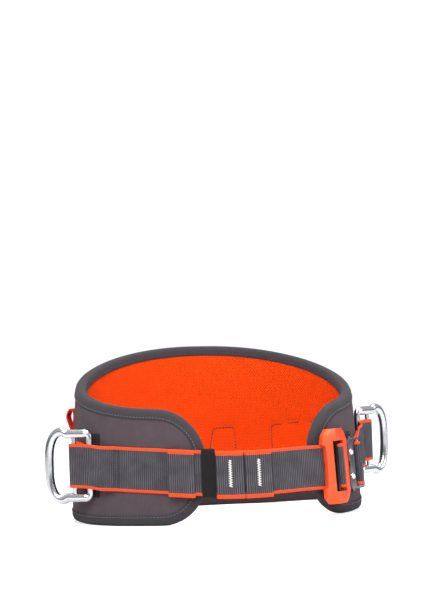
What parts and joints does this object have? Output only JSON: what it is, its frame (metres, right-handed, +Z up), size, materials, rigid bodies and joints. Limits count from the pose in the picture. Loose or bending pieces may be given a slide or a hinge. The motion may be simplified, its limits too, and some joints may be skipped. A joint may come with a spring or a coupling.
{
  "type": "tree climbing saddle belt",
  "caption": "Padded waist belt for tree work positioning, with a hinged D-ring at each hip, an adjustable front strap and a quick-release buckle.",
  "frame": {"origin": "middle of the belt's overall footprint, on the surface that it stands on", "axes": "+X to the wearer's left across the belt, +Y to the wearer's back, +Z up; the buckle faces -Y"},
  "size_m": [0.3938, 0.236, 0.1813],
  "materials": {
    "pad_cover": "woven grey-brown polyester",
    "foam": "closed-cell foam",
    "mesh": "orange spacer mesh",
    "binding": "woven tape",
    "webbing": "ribbed polyester webbing with orange edges",
    "patch": "black woven patch",
    "elastic": "black elastic",
    "loop_tape": "orange tape",
    "orange_metal": "satin orange anodising",
    "black_metal": "satin black",
    "grey_metal": "satin grey",
    "rivet_metal": "polished",
    "spring_metal": "spring wire",
    "ring_metal": "polished"
  },
  "bodies": {
    "belt": {"outer_cover": "pad_cover", "foam_core": "foam", "mesh_lining": "mesh", "edge_binding": "binding", "back_strap": "webbing", "ring_patch_left": "patch", "ring_patch_right": "patch", "buckle_patch": "patch", "left_strap": "webbing", "right_strap": "webbing", "accessory_loop_left": "loop_tape", "accessory_loop_right": "loop_tape", "receiver_base": "grey_metal", "receiver_cover": "grey_metal", "rivet_upper": "rivet_metal", "rivet_lower": "rivet_metal", "spring_upper": "spring_metal", "spring_lower": "spring_metal"},
    "left_ring": {"ring_left": "ring_metal", "ring_loop_left": "webbing"},
    "right_ring": {"ring_right": "ring_metal", "ring_loop_right": "webbing"},
    "buckle_half": {"buckle_frame": "orange_metal", "buckle_tongue": "grey_metal", "front_strap": "webbing", "elastic_keeper": "elastic"},
    "slider": {"slider_bar": "black_metal"},
    "clip_up": {"clip_upper": "grey_metal"},
    "clip_down": {"clip_lower": "grey_metal"}
  },
  "joints": [
    {"name": "left_ring_swing", "type": "hinge", "parent": "belt", "child": "left_ring", "pos_m": [-0.15497, -0.04482, 0.06149], "axis": [0, 0, 1], "range_deg": [-10, 40]},
    {"name": "right_ring_swing", "type": "hinge", "parent": "belt", "child": "right_ring", "pos_m": [0.15292, 0.0059, 0.07039], "axis": [0, 0, 1], "range_deg": [-28, 40]},
    {"name": "buckle_release", "type": "slide", "parent": "belt", "child": "buckle_half", "axis": [-0.7254, -0.6884, 0], "range_m": [0, 0.016]},
    {"name": "slider_travel", "type": "slide", "parent": "buckle_half", "child": "slider", "axis": [0.7254, 0.6884, 0], "range_m": [-0.0008, 0.0006]},
    {"name": "clip_upper_press", "type": "hinge", "parent": "belt", "child": "clip_up", "pos_m": [0.11152, -0.07716, 0.06348], "axis": [-0.6873, 0.7243, -0.0549], "range_deg": [0, 8], "stiffness_Nm_per_rad": 0.03, "springref_deg": -8.59, "deforming": ["spring_upper"]},
    {"name": "clip_lower_press", "type": "hinge", "parent": "belt", "child": "clip_down", "pos_m": [0.11246, -0.07816, 0.03852], "axis": [0.6873, -0.7243, 0.0549], "range_deg": [0, 8], "stiffness_Nm_per_rad": 0.03, "springref_deg": -8.59, "deforming": ["spring_lower"]}
  ]
}
